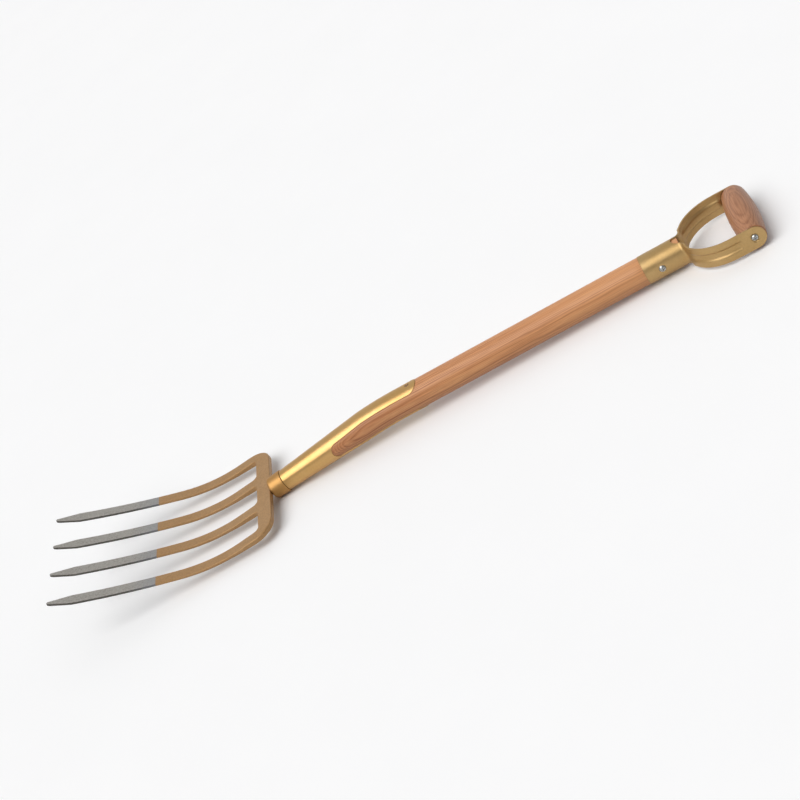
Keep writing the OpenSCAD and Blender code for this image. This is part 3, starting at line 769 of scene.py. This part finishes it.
def ash(name, pale, mid, dark, pith, ring, swerve=None, heart=None, sap=None):
    """Varnished ash: growth rings about a pith line, with pores along the grain.

    Each of swerve, heart and sap is (start, end, amount) along the grain. The pith line moves away by the
    amount, the wood is that much darker before the end, or that much paler past the start.
    """
    m = Shader(name)
    grain = m.add("ShaderNodeAttribute", attribute_name="grain").outputs["Vector"]

    def stretched(along, across):
        return m.add("ShaderNodeMapping", {"Vector": grain, "Scale": (along, across, across)}).outputs[0]

    along, side, up = m.add("ShaderNodeSeparateXYZ", {0: grain}).outputs

    def change(start, end, before, after):
        return m.add("ShaderNodeMapRange", {"Value": along, "From Min": start, "From Max": end,
                                            "To Min": before, "To Max": after},
                     interpolation_type="SMOOTHSTEP").outputs[0]

    side = m.math("SUBTRACT", side, pith[0])
    if swerve:
        side = m.math("SUBTRACT", side, change(swerve[0], swerve[1], 0.0, swerve[2]))
    up = m.math("SUBTRACT", up, pith[1])
    radius = m.math("SQRT", m.math("ADD", m.math("MULTIPLY", side, side), m.math("MULTIPLY", up, up)))
    wander = m.noise(stretched(9, 60), 1.0, 3)
    radius = m.math("MULTIPLY_ADD", wander, 1.8 * ring, radius)
    wave = m.math("FRACT", m.math("DIVIDE", radius, ring))
    colour = m.ramp(wave, [(0.0, dark), (0.25, mid), (0.6, pale), (0.85, mid), (1.0, dark)])
    tone = m.noise(stretched(4, 90), 1.0, 2)
    colour = m.mix(m.ramp(tone, [(0.38, 0.0), (0.62, 0.45)]), colour, mid)
    pores = m.noise(stretched(40, 1500), 1.0, 3)
    colour = m.mix(m.ramp(pores, [(0.48, 0.0), (0.66, 0.5)]), colour, dark)
    streaks = m.noise(stretched(10, 760), 1.0, 2)
    colour = m.mix(m.ramp(streaks, [(0.48, 0.0), (0.64, 0.6)]), colour, pale)
    colour = m.mix(m.ramp(streaks, [(0.34, 0.3), (0.46, 0.0)]), colour, dark)
    if heart:
        colour = m.mix(change(heart[0], heart[1], heart[2], 0.0), colour, dark)
    if sap:
        colour = m.mix(change(sap[0], sap[1], 0.0, sap[2]), colour, pale)
    # Painted shade where other faces lie close, as along the strap edges round the windows
    colour = m.mix(m.seam(reach=0.0012, share=0.85), colour, DIRT_AND_SHADE_BROWN)
    m.bump(m.math("MULTIPLY_ADD", wave, 0.3, pores), 0.15, BUMP_HEIGHT)
    roughness = m.ramp(pores, [(0.35, 0.40), (0.7, 0.52)])
    return m.set(Base_Color=colour, Roughness=roughness, Coat_Weight=0.08, Coat_Roughness=0.35)


def plated(name, pale, dark, rough):
    """Plated or plain small steel: faint mottle and tool marks, with painted shade in the recess and round the
    head.
    """
    m = Shader(name)
    here = m.coords()
    mottle = m.noise(here, 700, 3)
    gloss = m.noise(here, 1500, 2)
    marks = m.noise(here, 2200, 2)
    colour = m.ramp(mottle, [(0.3, dark), (0.7, pale)])
    # Painted shade where other faces lie close, as in the recess and round the head
    colour = m.mix(m.seam(reach=0.0015, share=0.85), colour, DIRT_AND_SHADE_BROWN)
    roughness = m.ramp(gloss, [(0.3, rough), (0.7, rough + 0.15)])
    m.bump(marks, 0.1, PLATED_BUMP_HEIGHT)
    return m.set(Base_Color=colour, Metallic=0.9, Roughness=roughness)


def dress_node(name, material):
    """Gives a CAD node its material."""
    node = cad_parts[name]
    node.data.materials.clear()
    node.data.materials.append(material)


# Studio and camera

STAGE_R, WALL_HEIGHT, STAGE_STEPS = 12.0, 2.2, 96
PAPER_SCALE = 6
FLOOR_GREY = (0.55, 0.55, 0.55)
FLOOR_WHITE, WALL_WHITE = [(0.3, 0.965), (0.7, 0.975)], [(0.3, 0.92), (0.7, 0.93)]

# The surround's dim and pale ends, as (position from right to left, colour)
DIM_END, PALE_END = (0.05, (0.10, 0.10, 0.11)), (0.80, (0.70, 0.70, 0.70))
KEY_TOWARDS, KEY_STRENGTH, KEY_SPREAD = (0.41, 0.44, -0.80), 2.1, radians(54)


def stage_ring(height):
    """Points round the edge of the stage, at a height."""
    turns = spread(0, 2 * pi, STAGE_STEPS)[:-1]
    return [(STAGE_R * cos(a), STAGE_R * sin(a), height) for a in turns]


def make_stage(name, verts, faces, material):
    """A piece of the studio that isn't part of the fork."""
    mesh = bpy.data.meshes.new(name)
    mesh.from_pydata(verts, [], faces)
    mesh.materials.append(material)
    piece = bpy.data.objects.new(name, mesh)
    bpy.context.scene.collection.objects.link(piece)


def make_floor():
    """Plain floor that keeps the shadow, white to the camera and the metal, greyer in what it throws back."""
    m = Shader("floor_paper")
    here = m.coords()
    tooth = m.noise(here, 400, 2)
    white = m.ramp(m.noise(here, PAPER_SCALE, 3), FLOOR_WHITE)
    colour = m.mix(m.seen(), FLOOR_GREY, white)
    m.bump(tooth, 0.02, BUMP_HEIGHT)
    ring = stage_ring(0)
    make_stage("floor", ring, [tuple(range(len(ring)))], m.set(Base_Color=colour, Roughness=0.9))


def make_wall():
    """Low round wall, far off, that looks as white as the floor and lets the light through."""
    m = Shader("wall_paper")
    white = m.ramp(m.noise(m.coords(), PAPER_SCALE, 3), WALL_WHITE)
    material = m.set(Base_Color=(0, 0, 0, 1), Roughness=1.0, Emission_Color=white, Emission_Strength=1.0,
                     Alpha=m.seen())
    make_stage("wall", *rings_to_mesh([stage_ring(WALL_HEIGHT), stage_ring(0)], caps=False), material)


def make_world():
    """Soft studio surround: pale behind the fork, dimmer on the camera's side."""
    world = bpy.data.worlds.new("studio")
    bpy.context.scene.world = world
    world.use_nodes = True
    nodes = Nodes(world.node_tree)
    direction = nodes.add("ShaderNodeTexCoord").outputs["Generated"]
    left = nodes.add("ShaderNodeSeparateXYZ", {0: direction}).outputs["Y"]
    share = nodes.add("ShaderNodeMapRange", {"Value": left, "From Min": -1.0, "From Max": 1.0}).outputs[0]
    background = world.node_tree.nodes["Background"]
    nodes.join(nodes.ramp(share, [DIM_END, PALE_END]), background.inputs["Color"])
    nodes.join(1.0, background.inputs["Strength"])


def make_light():
    """One soft light from far away, so that it falls evenly on the whole floor."""
    lamp = bpy.data.lights.new("key", "SUN")
    lamp.energy = KEY_STRENGTH
    lamp.angle = KEY_SPREAD
    light = bpy.data.objects.new("key", lamp)
    bpy.context.scene.collection.objects.link(light)
    light.rotation_euler = Vector(KEY_TOWARDS).to_track_quat("-Z", "Y").to_euler()


# Direction from the head to the photograph's camera, and the photograph's up, in the row frame
TO_CAMERA = Vector((0.29322, -0.8349, 0.4657)).normalized()
PHOTO_UP = Vector((0.47522, 0.55, 0.68682))
CAMERA_DISTANCE = 2.6
CAMERA_AIM = Vector((0.002, 0.0, 0.035))
CAMERA_LENS, SENSOR_WIDTH = 90.0, 36.0


def make_camera():
    """Camera on the photograph's line of sight to the head, far enough back to see the whole fork."""
    head = on_neck(-CROSSBAR_DEPTH, 0, FACE_Z)
    place = head + TO_CAMERA * CAMERA_DISTANCE
    back = (place - CAMERA_AIM).normalized()
    right = PHOTO_UP.cross(back).normalized()
    up = back.cross(right)
    camera = bpy.data.objects.new("camera", bpy.data.cameras.new("camera"))
    camera.matrix_world = Matrix.Translation(place) @ Matrix((right, up, back)).transposed().to_4x4()
    camera.data.lens = CAMERA_LENS
    camera.data.sensor_width = SENSOR_WIDTH
    bpy.context.scene.collection.objects.link(camera)
    bpy.context.scene.camera = camera


def main():
    """Builds the scene."""
    head_gold = lacquer("head_gold", srgb(175, 134, 85), srgb(190, 153, 110),
                        metallic=0.4, rough=0.43, grain=0.15)
    collar_gold = lacquer("collar_gold", srgb(190, 144, 84), srgb(206, 164, 108),
                          metallic=0.8, rough=0.46, grain=0.04)
    socket_gold = lacquer("socket_gold", srgb(202, 160, 98), srgb(217, 181, 129),
                          metallic=0.88, rough=0.34, grain=0.05)
    yoke_gold = lacquer("yoke_gold", srgb(188, 154, 100), srgb(206, 176, 128),
                        metallic=0.8, rough=0.40, grain=0.06)
    ground = bare_steel("ground_steel", srgb(180, 177, 171), srgb(164, 160, 153), srgb(134, 129, 121),
                        metallic=0.4)
    # Darker copy of the bare steel, for the sides of the bare tine ends
    dark_side = bare_steel("dark_side_steel", srgb(104, 100, 94), srgb(82, 78, 72), srgb(60, 56, 52), metallic=0.4)
    shaft_wood = ash("shaft_wood", srgb(226, 164, 110), srgb(204, 137, 87), srgb(156, 94, 57),
                     pith=(0.040, -0.003), ring=0.0011,
                     swerve=(0.093, 0.122, 0.0048), heart=(0.15, 0.26, 0.3), sap=(0.30, 0.60, 0.5))
    grip_wood = ash("grip_wood", srgb(184, 130, 92), srgb(168, 113, 76), srgb(142, 91, 59),
                    pith=(0.029, 0.0), ring=0.0013)
    zinc = plated("zinc", srgb(206, 208, 206), srgb(150, 152, 150), rough=0.22)
    rivet_steel = plated("rivet_steel", srgb(178, 142, 108), srgb(138, 106, 78), rough=0.5)
    rod_steel = plated("rod_steel", srgb(170, 170, 168), srgb(130, 130, 128), rough=0.4)

    make_head(head_gold, ground, dark_side)
    make_collar(collar_gold)
    make_socket(socket_gold)
    make_shaft(shaft_wood)
    make_yoke(yoke_gold)
    make_grip(grip_wood)
    for name in ("yoke_screw_left", "yoke_screw_right", "grip_screw_left", "grip_screw_right"):
        dress_node(name, zinc)
    dress_node("strap_rivet", rivet_steel)
    dress_node("grip_rod", rod_steel)

    make_floor()
    make_wall()
    make_world()
    make_light()
    make_camera()
    bpy.context.scene.view_settings.view_transform = "Standard"


main()
